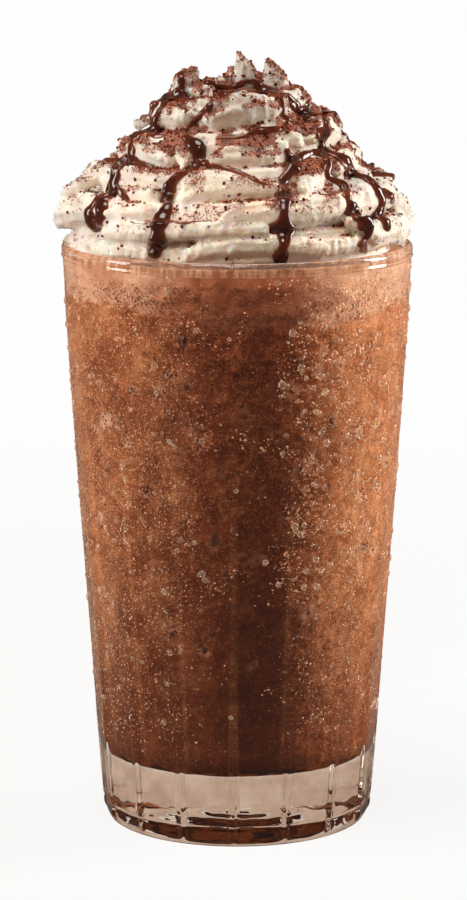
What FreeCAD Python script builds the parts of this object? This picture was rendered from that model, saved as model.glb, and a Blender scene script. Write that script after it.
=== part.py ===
"""Mocha frappe in a tall panelled glass: glass, blended drink, froth and a piped whipped cream swirl.

Millimetres, +Z up. The origin is the centre of the foot, on the surface that the glass stands on,
and -Y is the front.
"""

import FreeCAD, Part

import math
import os

from FreeCAD import Vector

# Glass
glass_height = 149.0
rim_radius = 44.2           # outside of the wall at the lip
base_radius = 34.0          # outside of the wall where the heel begins
wall_bow = 0.45             # how far the side swells past a straight taper, at half height
lip_wall = 2.2              # wall thickness at the lip, which is fully rounded
base_wall = 4.2             # wall thickness where the cavity's corner begins
heel_radius = 4.2           # rounding between side and foot
foot_width = 3.0            # flat ring that the glass stands on
punt_height = 2.6           # rise of the flat hollow inside the foot ring
punt_slope = 6.0            # width of the curved slope from the foot ring up to the hollow
floor_height = 16.0         # solid glass under the drink
cavity_corner = 6.0         # rounding between the cavity's wall and its floor

# Flat panels pressed into the outside, which fade into the round wall above
panel_count = 16
panel_depth = 0.55          # at the heel, measured at the middle of a panel
panel_top = 116.0           # height where the panels run out
panel_turn = -1.5           # degrees from the front to the nearest ridge

# Drink
froth_below_rounding = 0.2  # from where the lip's rounding begins down to the top of the froth
froth_depth = 12.4
froth_wave = 1.6            # how far the strongest wave of the froth's underside rises and falls
froth_wave_length = 46.0
# Waves of that underside: (cycles along X, cycles along Y, share of froth_wave) in each froth_wave_length
froth_waves = [(1.0, 0.1, 1.0), (-1.4, 0.8, 0.6), (0.2, 2.1, 0.4)]
froth_grid = 13             # measured points along each side of the boundary between froth and drink

# Whipped cream
cream_gap = 1.2             # between the cream and the inside of the lip
cream_height = 44.1         # from the froth to the top of the swirl, between its tufts
belly_inset = 0.6           # from the edge of the lip in to the belly of the mound, apart from its lobes
belly_height = 7.6
shoulder_radius = 37.0
shoulder_height = 19.6
crown_radius = 18.0
crown_height = 37.1
top_radius = 1.0            # small flat where the roll ends
roll_turns = 5              # whole turns of the piped roll from the froth to the top
roll_relief = 3.4           # from the crest of a roll down to the crease beside it
roll_sag = 1.5              # how far a crest hangs over the crease below
ridge_relief = 0.6          # of the nozzle's ridges along each roll
ridges_per_roll = 2
cream_wobble = 0.9          # slow unevenness of the hand-piped rolls
# Waves of that unevenness: (cycles round the mound, radians from the froth to the top)
wobble_waves = [(3, 9), (2, -14)]
# Lobes that bulge out: (direction in degrees, height above the froth, how far out, width in degrees)
lobes = [(176, 7.1, 3.2, 30), (-8, 9.6, 0.8, 22), (96, 12.1, 1.4, 26), (262, 8.1, 0.9, 24)]
# Tufts where the nozzle let go: (direction in degrees, rise, width in degrees)
tufts = [(192, 5.5, 30), (84, 7.4, 30), (-24, 7.0, 30)]
tuft_radius = 9.5           # from the axis to the middle of a tuft
tuft_spread = 4.5

cream_columns = 40          # control points round the swirl
rows_per_roll = 11          # control points up each roll


def arc_edge(start, middle, end):
    """Arc in the XZ plane through three (radius, height) points."""
    return Part.Arc(*[Vector(r, 0, z) for r, z in (start, middle, end)]).toShape()


def line_edge(start, end):
    """Line in the XZ plane between two (radius, height) points."""
    return Part.LineSegment(Vector(start[0], 0, start[1]), Vector(end[0], 0, end[1])).toShape()


def turned(edges):
    """Solid of revolution about Z of a closed outline in the XZ plane."""
    outline = Part.Wire(edges)
    return Part.Face(outline).revolve(Vector(0, 0, 0), Vector(0, 0, 1), 360)


def slope_middle(width, rise):
    """Half-way point, as (width, height), of an arc that climbs inwards by rise and ends level."""
    bend = (width * width + rise * rise) / (2 * rise)
    half_angle = math.asin(width / bend) / 2
    return bend * math.sin(half_angle), rise - bend * (1 - math.cos(half_angle))


def bowed_middle(start, end):
    """Middle of a wall line, swollen outwards by wall_bow."""
    return (start[0] + end[0]) / 2 + wall_bow, (start[1] + end[1]) / 2


def wall_radius(start, end, height):
    """Radius at a height on the bowed wall between two (radius, height) points."""
    middle = bowed_middle(start, end)
    circle = Part.Arc(*[Vector(r, 0, z) for r, z in (start, middle, end)])
    level = Part.LineSegment(Vector(0, 0, height), Vector(2 * rim_radius, 0, height))
    return circle.intersectCC(level)[0].X


# The two walls, as (radius, height) of their lower and upper ends
lip_height = glass_height - lip_wall / 2
outer_low, outer_high = (base_radius, heel_radius), (rim_radius, lip_height)
inner_low = (base_radius - base_wall, floor_height + cavity_corner)
inner_high = (rim_radius - lip_wall, lip_height)
froth_level = lip_height - froth_below_rounding
lip_above_froth = glass_height - froth_level


def cavity_outline(top):
    """Edges of the cavity from the axis at the floor, out and up the wall to a height."""
    corner_start = (inner_low[0] - cavity_corner, floor_height)
    bend = cavity_corner * math.sqrt(0.5)
    corner_middle = (corner_start[0] + bend, floor_height + cavity_corner - bend)
    wall_end = (wall_radius(inner_low, inner_high, top), top)
    between = (inner_low[1] + top) / 2
    wall_middle = (wall_radius(inner_low, inner_high, between), between)
    return [
        line_edge((0, floor_height), corner_start),
        arc_edge(corner_start, corner_middle, inner_low),
        arc_edge(inner_low, wall_middle, wall_end),
    ], wall_end


def make_glass():
    """Tapered glass with a thick panelled base, a rounded lip and a hollow under the foot."""
    inside, _ = cavity_outline(lip_height)
    foot_outer = base_radius - heel_radius
    foot_inner = foot_outer - foot_width
    punt_edge = foot_inner - punt_slope
    slope_width, slope_height = slope_middle(punt_slope, punt_height)
    heel = heel_radius * math.sqrt(0.5)
    round_glass = turned(
        inside
        + [
            arc_edge(inner_high, (rim_radius - lip_wall / 2, glass_height), outer_high),
            arc_edge(outer_high, bowed_middle(outer_low, outer_high), outer_low),
            arc_edge(outer_low, (foot_outer + heel, heel_radius - heel), (foot_outer, 0)),
            line_edge((foot_outer, 0), (foot_inner, 0)),
            arc_edge((foot_inner, 0), (punt_edge + slope_width, slope_height), (punt_edge, punt_height)),
            line_edge((punt_edge, punt_height), (0, punt_height)),
            line_edge((0, punt_height), (0, floor_height)),
        ]
    )
    return round_glass.common(panel_frustum())


def panel_frustum():
    """Many-sided frustum whose flat sides cut the panels out of the round wall."""
    low = base_radius - panel_depth
    slope = (wall_radius(outer_low, outer_high, panel_top) - low) / (panel_top - heel_radius)
    rings = []
    for height in (-heel_radius, glass_height + heel_radius):
        middle_distance = low + slope * (height - heel_radius)
        corner_distance = middle_distance / math.cos(math.pi / panel_count)
        corners = []
        for side in range(panel_count + 1):
            angle = math.radians(-90 + panel_turn) + 2 * math.pi * side / panel_count
            corners.append(
                Vector(corner_distance * math.cos(angle), corner_distance * math.sin(angle), height)
            )
        rings.append(Part.makePolygon(corners))
    return Part.makeLoft(rings, True, True)


def froth_underside(x, y):
    """Height of the uneven boundary between froth and drink."""
    turn = 2 * math.pi / froth_wave_length
    waves = sum(share * math.sin(turn * (across * x + back * y)) for across, back, share in froth_waves)
    return froth_level - froth_depth + froth_wave * waves


def make_drink():
    """The drink below and the froth above, which meet at an uneven boundary."""
    side, edge = cavity_outline(froth_level)
    middle = (0, froth_level)
    fill = turned(side + [line_edge(edge, middle), line_edge(middle, (0, floor_height))])
    reach = rim_radius + froth_wave_length / 4
    places = [reach * (2 * step / (froth_grid - 1) - 1) for step in range(froth_grid)]
    boundary = Part.BSplineSurface()
    boundary.interpolate([[Vector(x, y, froth_underside(x, y)) for y in places] for x in places])
    above = boundary.toShape().extrude(Vector(0, 0, 2 * froth_depth))
    return fill.cut(above), fill.common(above)


def smooth_step(low, high, value):
    """0 below low, 1 above high and an even rise between."""
    share = min(max((value - low) / (high - low), 0.0), 1.0)
    return share * share * (3 - 2 * share)


def mound_profile(rows):
    """Evenly spaced (radius, height) points up the side of the mound, without its rolls."""
    neck = wall_radius(inner_low, inner_high, froth_level) - cream_gap
    lip = min(rim_radius - lip_wall - cream_gap, neck + lip_wall)
    points = [
        (neck, 0),
        (lip, lip_above_froth),
        (rim_radius - belly_inset, belly_height),
        (shoulder_radius, shoulder_height),
        (crown_radius, crown_height),
        (top_radius, cream_height),
    ]
    curve = Part.BSplineCurve()
    curve.interpolate([Vector(r, 0, z) for r, z in points])
    return [(p.x, p.z) for p in curve.discretize(rows)]


def lump(angle, centre, width):
    """1 in the given direction in degrees, fading to 0 over about width degrees each way."""
    apart = (math.degrees(angle) - centre + 180) % 360 - 180
    return math.exp(-((apart / width) ** 2))


def roll_offset(phase):
    """Inward offset across one roll: none at its crest and roll_relief in the crease."""
    crest = abs(math.cos(phase / 2))
    ridges = ridge_relief * (1 - math.cos(ridges_per_roll * phase)) / 2
    return roll_relief * (1 - crest) + ridges * crest


def cream_point(profile, row, angle):
    """Control point of the swirl at a row of the mound's profile and a direction."""
    last = len(profile) - 1
    place = row / last
    radius, height = profile[row]
    ahead, behind = profile[min(row + 1, last)], profile[max(row - 1, 0)]
    run = math.hypot(ahead[0] - behind[0], ahead[1] - behind[1])
    along = ((ahead[0] - behind[0]) / run, (ahead[1] - behind[1]) / run)
    outward = (along[1], -along[0])
    above_lip = smooth_step(lip_above_froth, belly_height, height)
    free = above_lip * smooth_step(top_radius, crown_radius, radius)
    phase = 2 * math.pi * roll_turns * place - angle
    waves = [math.sin(around * angle + up * place) for around, up in wobble_waves]
    wobble = cream_wobble * sum(waves) / len(waves)
    inward = roll_offset(phase) - wobble * smooth_step(0, belly_height, height)
    sag = roll_sag * math.sin(phase)
    radius += free * (sag * along[0] - inward * outward[0])
    height += free * (sag * along[1] - inward * outward[1])
    for centre, level, reach, width in lobes:
        near = math.exp(-(((height - level) / belly_height) ** 2)) * free
        radius += reach * near * lump(angle, centre, width)
    off_axis = smooth_step(top_radius, tuft_radius, radius)
    for centre, rise, width in tufts:
        near = math.exp(-(((radius - tuft_radius) / tuft_spread) ** 2)) * off_axis
        height += rise * near * lump(angle, centre, width)
    return Vector(radius * math.cos(angle), radius * math.sin(angle), froth_level + height)


def make_cream():
    """Mound of cream piped in a rising swirl, with a flat underside and a small flat on top."""
    rows = roll_turns * rows_per_roll
    profile = mound_profile(rows)
    poles = []
    for column in range(cream_columns):
        angle = 2 * math.pi * column / cream_columns
        poles.append([cream_point(profile, row, angle) for row in range(rows)])
    degree = 3
    spans = rows - degree
    surface = Part.BSplineSurface()
    surface.buildFromPolesMultsKnots(
        poles,
        [1] * (cream_columns + 1),
        [degree + 1] + [1] * (spans - 1) + [degree + 1],
        list(range(cream_columns + 1)),
        list(range(spans + 1)),
        True,
        False,
        degree,
        degree,
    )
    side = surface.toShape()
    rings = [edge for edge in side.Edges if edge.BoundBox.ZLength < cream_gap]
    shell = Part.makeShell([side] + [Part.Face(Part.Wire([ring])) for ring in rings])
    shell.sewShape()
    cream = Part.Solid(shell)
    if cream.Volume < 0:
        cream.reverse()
    return cream


def main():
    os.makedirs("parts", exist_ok=True)
    drink, froth = make_drink()
    nodes = {
        "glass": make_glass(),
        "frappe_drink": drink,
        "froth": froth,
        "whipped_cream": make_cream(),
    }
    for name, shape in nodes.items():
        shape.exportStep(f"parts/{name}.step")
        volume = round(shape.Volume / 1000, 2)
        print(name, "valid", shape.isValid(), "solids", len(shape.Solids), "cm3", volume)


main()
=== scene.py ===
"""Looks of a mocha frappe in a tall panelled glass.

Shapes are worked out in millimetres about the axis of the glass, +Z up and -Y the front, and each
piece is brought to metres when it is finished. Directions are in degrees about the axis, where
-90 is the front and 0 the right.
"""

import math
import random

import bmesh
import bpy
import numpy as np
from mathutils import Matrix, Vector, noise
from mathutils.bvhtree import BVHTree


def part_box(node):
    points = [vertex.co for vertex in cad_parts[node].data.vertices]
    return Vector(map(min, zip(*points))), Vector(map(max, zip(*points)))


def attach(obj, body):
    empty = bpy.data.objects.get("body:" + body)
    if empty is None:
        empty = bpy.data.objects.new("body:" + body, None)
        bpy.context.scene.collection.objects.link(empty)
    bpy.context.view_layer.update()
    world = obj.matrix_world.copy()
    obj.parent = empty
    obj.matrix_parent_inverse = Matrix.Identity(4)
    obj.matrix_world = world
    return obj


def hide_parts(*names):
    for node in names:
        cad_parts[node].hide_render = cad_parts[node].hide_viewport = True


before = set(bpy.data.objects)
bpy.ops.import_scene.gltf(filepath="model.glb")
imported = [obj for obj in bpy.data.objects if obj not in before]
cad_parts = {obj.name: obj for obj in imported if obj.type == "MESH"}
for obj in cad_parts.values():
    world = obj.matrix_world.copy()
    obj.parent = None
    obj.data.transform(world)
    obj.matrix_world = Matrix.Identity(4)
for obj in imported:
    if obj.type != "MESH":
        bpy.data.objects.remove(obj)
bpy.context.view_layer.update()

MM = 0.001
rng = random.Random(11)

# Places read from the frame
rim_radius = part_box("glass")[1].x / MM
rim_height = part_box("glass")[1].z / MM
froth_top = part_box("froth")[1].z / MM

# Glass
base_radius = 34.0
wall_bow = 0.45
lip_wall = 2.2
base_wall = 4.2
heel_radius = 4.2
foot_width = 3.0
floor_height = 18.2
cavity_corner = 6.0
panel_count = 16
panel_depth = 0.55
panel_top = 116.0
panel_end = 132.0           # no panel shows above this height
panel_turn = -1.5
glass_columns = 384         # faces round the glass, and round the drink in it
rim_band = 3.0              # smooth band under the lip, down to a fine bead
rim_groove = 0.2
ridge_rib = 0.32            # rounded rib along each ridge between the panels
foot_dome = 5.2             # rise of the hollow under the foot

# Drink
wall_reach = 0.45           # how far drink and froth reach into the wall, so that no air shows between
froth_depth = 12.4          # mean, seen at the wall
froth_line = froth_top - froth_depth
froth_columns = 460
patch_count = 110

# Cream
layer_rise = 7.8            # from one turn of the piped rope to the next
rope_radius = 5.2
cream_voxel = 0.53          # grain of the merged cream

# Sauce
sauce_step = 0.45           # from one section of a strand to the next
sauce_height = 0.58         # of a strand, as a share of its half width
sauce_fullness = 1.04       # makes up for what the smoothing takes off
sauce_voxel = 0.31

# Where the drink is looked at from
eye = Vector((-0.9, -1025.0, 279.0))
eye_tilt = 10.14            # degrees down from level


# ---------------------------------------------------------------- shared helpers


def shade(red, green, blue):
    """Colour given as it shows on a screen, 0 to 255, for a shader."""
    linear = []
    for value in (red, green, blue):
        share = value / 255
        linear.append(share / 12.92 if share <= 0.04045 else ((share + 0.055) / 1.055) ** 2.4)
    return (*linear, 1.0)


def smooth_step(low, high, value):
    """0 below low, 1 above high and an even rise between; works on arrays too."""
    share = np.clip((value - low) / (high - low), 0.0, 1.0)
    return share * share * (3 - 2 * share)


def around(radius, degrees, height):
    """Point at a radius, a direction and a height."""
    angle = math.radians(degrees)
    return Vector((radius * math.cos(angle), radius * math.sin(angle), height))


def make_piece(name, bm, material, slot, *nodes):
    """Finished piece of the object from a bmesh in millimetres, standing for the given CAD nodes."""
    bmesh.ops.scale(bm, vec=(MM, MM, MM), verts=bm.verts)
    mesh = bpy.data.meshes.new(name)
    bm.to_mesh(mesh)
    bm.free()
    return dress(bpy.data.objects.new(name, mesh), material, slot, *nodes)


def dress(piece, material, slot, *nodes):
    """Gives a piece its material and place in the object; its slot is not used."""
    mesh = piece.data
    mesh.polygons.foreach_set("use_smooth", [True] * len(mesh.polygons))
    mesh.materials.clear()
    mesh.materials.append(material)
    if piece.name not in bpy.context.scene.collection.objects:
        bpy.context.scene.collection.objects.link(piece)
    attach(piece, "root")
    if nodes:
        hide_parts(*nodes)
    return piece


def arc(centre, radius, start, end, steps):
    """Points (radius, height) on an arc, by its start and end in degrees."""
    points = []
    for step in range(steps + 1):
        angle = math.radians(start + (end - start) * step / steps)
        points.append((centre[0] + radius * math.cos(angle), centre[1] + radius * math.sin(angle)))
    return points


def spin_outline(outline, columns):
    """Closed shell turned about the axis from (radius, height) points that start and end on it."""
    bm = bmesh.new()
    verts = [bm.verts.new((radius, 0, height)) for radius, height in outline]
    edges = [bm.edges.new(pair) for pair in zip(verts, verts[1:])]
    bmesh.ops.spin(
        bm,
        geom=verts + edges,
        cent=(0, 0, 0),
        axis=(0, 0, 1),
        angle=2 * math.pi,
        steps=columns,
        use_merge=True,
    )
    bmesh.ops.remove_doubles(bm, verts=bm.verts, dist=1e-4)
    bmesh.ops.recalc_face_normals(bm, faces=bm.faces)
    return bm


def rope(bm, points, outward, radii, section, columns):
    """Adds a closed rope to bm along centre points.

    Each point has a radius and an outward direction; section(step, angle) gives how far the rope reaches
    along that direction and across it, as shares of the radius.
    """
    last = len(points) - 1
    old = set(bm.verts)
    bmesh.ops.create_grid(bm, x_segments=last, y_segments=columns, size=0.5)
    fresh = [v for v in bm.verts if v not in old]
    across = []
    for step in range(last + 1):
        along = (points[min(step + 1, last)] - points[max(step - 1, 0)]).normalized()
        across.append(outward[step].cross(along).normalized())
    for v in fresh:
        step = round((v.co.x + 0.5) * last)
        angle = 2 * math.pi * (v.co.y + 0.5)
        out, side = section(step, angle)
        v.co = points[step] + float(radii[step]) * (out * outward[step] + side * across[step])
    bmesh.ops.remove_doubles(bm, verts=fresh, dist=1e-5)
    ends = [e for e in bm.edges if e.is_boundary]
    bmesh.ops.holes_fill(bm, edges=ends, sides=0)


def curve_through(points, spacing):
    """Evenly spaced points on a smooth curve through the given ones, whose rows may have any length."""
    rows = np.array(points, float)
    padded = np.vstack([2 * rows[0] - rows[1], rows, 2 * rows[-1] - rows[-2]])
    fine = []
    for k in range(1, len(padded) - 2):
        before, start, end, after = padded[k - 1 : k + 3]
        for t in np.linspace(0, 1, 24, endpoint=False):
            bend = (2 * before - 5 * start + 4 * end - after) * t**2
            twist = (3 * start - before - 3 * end + after) * t**3
            fine.append(0.5 * (2 * start + (end - before) * t + bend + twist))
    fine.append(rows[-1])
    fine = np.array(fine)
    run = np.concatenate([[0], np.cumsum(np.linalg.norm(np.diff(fine[:, :3], axis=0), axis=1))])
    places = np.linspace(0, run[-1], max(int(run[-1] / spacing), 3) + 1)
    return np.stack([np.interp(places, run, fine[:, k]) for k in range(fine.shape[1])], axis=1)


def merged(name, bm, voxel, smoothing):
    """Object whose shells are merged into one skin of a given grain and smoothed, in millimetres."""
    bmesh.ops.recalc_face_normals(bm, faces=bm.faces)
    rough = bpy.data.meshes.new(name)
    bm.to_mesh(rough)
    bm.free()
    lump = bpy.data.objects.new(name, rough)
    bpy.context.scene.collection.objects.link(lump)
    skin = lump.modifiers.new("skin", "REMESH")
    skin.mode = "VOXEL"
    skin.voxel_size = voxel
    soften = lump.modifiers.new("soften", "SMOOTH")
    soften.iterations = smoothing
    soften.factor = 0.5
    graph = bpy.context.evaluated_depsgraph_get()
    mesh = bpy.data.meshes.new_from_object(lump.evaluated_get(graph))
    lump.modifiers.clear()
    lump.data = mesh
    mesh.name = name
    bpy.data.meshes.remove(rough)
    return lump


def points_of(mesh):
    """Vertex places of a mesh as an array."""
    places = np.empty(len(mesh.vertices) * 3)
    mesh.vertices.foreach_get("co", places)
    return places.reshape(-1, 3)


def normals_of(mesh):
    """Vertex normals of a mesh as an array."""
    directions = np.empty(len(mesh.vertices) * 3)
    mesh.vertex_normals.foreach_get("vector", directions)
    return directions.reshape(-1, 3)


def place_points(mesh, places):
    """Moves the vertices of a mesh to new places."""
    mesh.vertices.foreach_set("co", places.ravel())
    mesh.update()


def softened(mesh, values, rounds):
    """Values at the vertices after each has been averaged with its neighbours a number of times."""
    ends = np.empty(len(mesh.edges) * 2, int)
    mesh.edges.foreach_get("vertices", ends)
    a, b = ends.reshape(-1, 2).T
    count = np.bincount(a, minlength=len(values)) + np.bincount(b, minlength=len(values))
    count = np.maximum(count, 1)
    values = np.array(values, float)
    columns = values.reshape(len(values), -1)
    for _ in range(rounds):
        pairs = [(np.bincount(a, c[b], len(values)), np.bincount(b, c[a], len(values))) for c in columns.T]
        summed = np.stack([first + second for first, second in pairs], axis=1)
        columns = 0.5 * columns + 0.5 * summed / count[:, None]
    return columns.reshape(values.shape)


def keep_values(mesh, name, values):
    """Stores a number for each vertex, for a material to read."""
    mesh.attributes.new(name, "FLOAT", "POINT").data.foreach_set("value", values.astype(np.float32))


def grain(places, size, seed=0.0):
    """Smooth noise between about -1 and 1 at each place, with lumps of the given size."""
    offset = Vector((seed * 7.3, seed * 3.1, seed * 5.7))
    return np.array([noise.noise(Vector(p) / size + offset) for p in places]) * 1.6


# ---------------------------------------------------------------- materials


class Finish:
    """A node material while it is put together."""

    def __init__(self, name, tree=None):
        """Starts a new material, or takes over a tree that is there."""
        if tree is None:
            self.material = bpy.data.materials.new(name)
            self.material.use_nodes = True
            tree = self.material.node_tree
        self.tree = tree
        self.tree.nodes.clear()
        self.place = self.add("ShaderNodeTexCoord").outputs["Object"]

    def add(self, kind, settings=None, **sockets):
        """New node with settings and sockets given by name; a socket is a value or another's output."""
        node = self.tree.nodes.new(kind)
        for key, value in (settings or {}).items():
            setattr(node, key, value)
        for key, value in sockets.items():
            self.feed(node.inputs[key.replace("_", " ")], value)
        return node

    def feed(self, socket, value):
        """Gives a socket a value or another's output."""
        if isinstance(value, bpy.types.NodeSocket):
            self.tree.links.new(value, socket)
        else:
            socket.default_value = value

    def math(self, kind, first, second):
        """Result of a kind of sum on two values or outputs."""
        node = self.add("ShaderNodeMath", {"operation": kind})
        self.feed(node.inputs[0], first)
        self.feed(node.inputs[1], second)
        return node.outputs[0]

    def ramp(self, value, low, high, start=0.0, end=1.0):
        """Value carried from the range low to high into the range start to end, with soft ends."""
        node = self.add("ShaderNodeMapRange", {"interpolation_type": "SMOOTHSTEP"}, Value=value)
        for key, number in (("From Min", low), ("From Max", high), ("To Min", start), ("To Max", end)):
            node.inputs[key].default_value = number
        return node.outputs["Result"]

    def mix(self, share, first, second):
        """Colour between the first at a share of 0 and the second at 1."""
        node = self.add("ShaderNodeMix", {"data_type": "RGBA"})
        for number, value in ((0, share), (6, first), (7, second)):
            self.feed(node.inputs[number], value)
        return node.outputs[2]

    def blend(self, value, low, high, first, second, most=1.0):
        """Colour that goes from the first towards the second as a value goes from low to high."""
        return self.mix(self.ramp(value, low, high, 0.0, most), first, second)

    def noise(self, size, detail=2.0, roughness=0.5, place=None, distortion=0.0):
        """Noise with lumps of about the given size in millimetres."""
        node = self.add(
            "ShaderNodeTexNoise",
            Vector=place or self.place,
            Scale=1 / (size * MM),
            Detail=detail,
            Roughness=roughness,
            Distortion=distortion,
        )
        return node.outputs["Fac"]

    def pits(self, size):
        """Distance from the middle of cells of about the given size in millimetres, in cells."""
        node = self.add("ShaderNodeTexVoronoi", None, Vector=self.place, Scale=1 / (size * MM))
        return node.outputs["Distance"]

    def height(self):
        """Height above the foot in metres."""
        return self.add("ShaderNodeSeparateXYZ", None, Vector=self.place).outputs["Z"]

    def kept(self, name):
        """Number stored at the vertices."""
        return self.add("ShaderNodeAttribute", {"attribute_name": name}).outputs["Fac"]

    def bump(self, height, depth, share=1.0, under=None):
        """Normal of a relief whose height of 1 is the given depth in millimetres."""
        node = self.add("ShaderNodeBump", Height=height, Strength=share, Distance=depth * MM)
        if under is not None:
            self.feed(node.inputs["Normal"], under)
        return node.outputs["Normal"]

    def skin(self, **sockets):
        """Principled shader wired to the output."""
        node = self.add("ShaderNodeBsdfPrincipled", None, **sockets)
        self.show(node.outputs[0])
        return node

    def show(self, shader):
        """Wires a shader to the output and gives the material."""
        output = self.add("ShaderNodeOutputMaterial")
        self.tree.links.new(shader, output.inputs["Surface"])
        return self.material


def shared(f, share, first, second):
    """Shader between the first at a share of 0 and the second at 1."""
    both = f.add("ShaderNodeMixShader")
    f.feed(both.inputs[0], share)
    f.feed(both.inputs[1], first.outputs[0])
    f.feed(both.inputs[2], second.outputs[0])
    return both.outputs[0]


def let_light_through(f, body, passing):
    """Shows a body, which lets the light of the lamps through to what it covers."""
    through = f.add("ShaderNodeBsdfTransparent", None, Color=passing)
    shadow = f.add("ShaderNodeLightPath").outputs["Is Shadow Ray"]
    return f.show(shared(f, shadow, body, through))


def tumbler_finish():
    """Clear pressed glass, faintly rippled, with a smoky tint in the thick base that is partly painted shade
    for the dimmer view through it.
    """
    f = Finish("clear_glass")
    thick = f.ramp(f.height(), (floor_height + 4.5) * MM, (floor_height - 0.5) * MM)
    # Smoky tint of the thick base, partly painted shade that stands in for the dimmer surroundings seen
    # through it.
    smoke_and_shade = f.blend(f.noise(7, 3), 0.35, 0.65, shade(176, 144, 122), shade(204, 176, 154))
    ripple = f.bump(f.noise(9, 2), 0.25, 0.35)
    body = f.add(
        "ShaderNodeBsdfPrincipled",
        None,
        Base_Color=f.mix(thick, (1.0, 1.0, 1.0, 1.0), smoke_and_shade),
        Roughness=0.0,
        IOR=1.5,
        Transmission_Weight=1.0,
        Normal=f.bump(f.noise(6, 1), 0.8, f.math("MULTIPLY", thick, 0.3), ripple),
    )
    return let_light_through(f, body, (0.96, 0.95, 0.94, 1.0))


def water_finish(name, tinted_share, first, second):
    """Beads of water, partly clear and partly a tan skin whose colour is painted, standing in for the brown
    drink seen through them.
    """
    f = Finish(name)
    # The tan base colour is painted: it stands in for the brown drink seen through the beads.
    body = f.add(
        "ShaderNodeBsdfPrincipled",
        None,
        Base_Color=f.blend(f.noise(3, 2), 0.4, 0.6, first, second),
        Roughness=0.06,
        IOR=1.33,
        Transmission_Weight=1.0 - tinted_share,
    )
    return let_light_through(f, body, (0.9, 0.86, 0.82, 1.0))


def ice_colour(f, clumps, streaks, fine, specks):
    """Blended ice and coffee with lumps of every size, with painted shade low down and painted side light and
    glints at the wall.
    """
    mottle = f.noise(1.5, 3, 0.65)
    tone = f.blend(f.noise(24, 3, 0.55), 0.35, 0.65, shade(120, 52, 24), shade(144, 68, 33))
    for lumps, low, high, most, brown in (
        (clumps, 0.40, 0.62, 0.8, (104, 44, 23)),
        (clumps, 0.45, 0.30, 0.75, (172, 98, 60)),
        (streaks, 0.56, 0.72, 0.8, (160, 84, 46)),
        (streaks, 0.44, 0.28, 0.9, (80, 32, 17)),
        (fine, 0.58, 0.74, 0.7, (184, 112, 70)),
        (fine, 0.42, 0.28, 0.6, (82, 34, 18)),
        (mottle, 0.56, 0.68, 0.6, (184, 112, 66)),
        (mottle, 0.44, 0.32, 0.7, (92, 40, 22)),
        (specks, 0.42, 0.30, 0.55, (84, 36, 20)),
    ):
        tone = f.blend(lumps, low, high, tone, shade(*brown), most)
    # Painted shade: the slush darkens low down, in upright bands, behind the panels and in pools under the
    # froth.
    tone = f.mix(f.math("MULTIPLY", f.kept("dark_and_shade"), 0.75), tone, shade(78, 30, 15))
    # Painted side light: the slush is paler where the lamps light its sides, most of all on the right.
    painted_side_light = f.math("MULTIPLY", f.kept("pale"), f.ramp(f.math("ADD", fine, streaks), 0.75, 1.3, 0.35, 0.95))
    tone = f.mix(painted_side_light, tone, f.blend(clumps, 0.4, 0.6, shade(218, 156, 108), shade(198, 128, 80)))
    # Painted glints: light specks, more where side light is painted and fewer where shade is painted.
    calm = f.ramp(f.kept("dark_and_shade"), 0.1, 0.7, 0.24, 0.04)
    glints = f.math("MULTIPLY", f.ramp(specks, 0.60, 0.70), f.math("ADD", f.kept("pale"), calm))
    return f.mix(f.math("MINIMUM", glints, 0.85), tone, shade(240, 184, 134))


def foam_colour(f, specks):
    """Froth, paler where side light is painted, with small dark pits."""
    lumps = f.noise(4, 3)
    tone = f.blend(lumps, 0.35, 0.65, shade(148, 84, 54), shade(174, 108, 74))
    paler = f.blend(lumps, 0.35, 0.65, shade(212, 168, 138), shade(224, 186, 158))
    # Painted side light makes the froth paler at the sides.
    tone = f.mix(f.math("MINIMUM", f.math("MULTIPLY", f.kept("pale"), 1.5), 0.9), tone, paler)
    tone = f.blend(specks, 0.44, 0.32, tone, shade(150, 90, 60), 0.5)
    return f.blend(f.pits(0.9), 0.24, 0.10, tone, shade(104, 56, 34), 0.35)


def slush_finish(name):
    """Slush that passes into froth, with painted amber light on its underside and painted reflection streaks
    in the band under the lip.
    """
    f = Finish(name)
    clumps = f.noise(6, 4, 0.62, distortion=0.5)
    streaks = f.noise(2.6, 3, 0.6)
    fine = f.noise(0.7, 2, 0.6)
    specks = f.noise(0.4, 1, 0.5)
    frothy = f.math("ADD", f.kept("froth"), f.math("MULTIPLY", fine, 0.5))
    colour = f.blend(frothy, 0.45, 1.05, ice_colour(f, clumps, streaks, fine, specks), foam_colour(f, specks))
    # Painted light: amber glow and dark mottling on the underside, for light that passes through the drink
    # and shows in the base.
    painted_underside_light = f.blend(f.noise(5, 3), 0.42, 0.58, shade(48, 20, 11), shade(158, 84, 38))
    colour = f.mix(f.kept("underside"), colour, painted_underside_light)
    # Painted reflection: pale upright streaks in the band under the lip, where the lip glass shows froth and
    # cream bent into view.
    drawn = f.add("ShaderNodeMapping", None, Vector=f.place, Scale=(1.0, 1.0, 0.12)).outputs[0]
    painted_lip_streaks = f.blend(f.noise(1.6, 3, place=drawn), 0.38, 0.62, shade(150, 96, 68), shade(206, 162, 130))
    band = rim_height - rim_band
    colour = f.blend(f.height(), (band - 0.5) * MM, (band + 0.2) * MM, colour, painted_lip_streaks, 0.8)
    relief = f.math("ADD", fine, f.math("MULTIPLY", streaks, 2.0))
    f.skin(Base_Color=colour, Roughness=0.8, Specular_IOR_Level=0.02, Normal=f.bump(relief, 0.3, 0.6))
    return f.material


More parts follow.
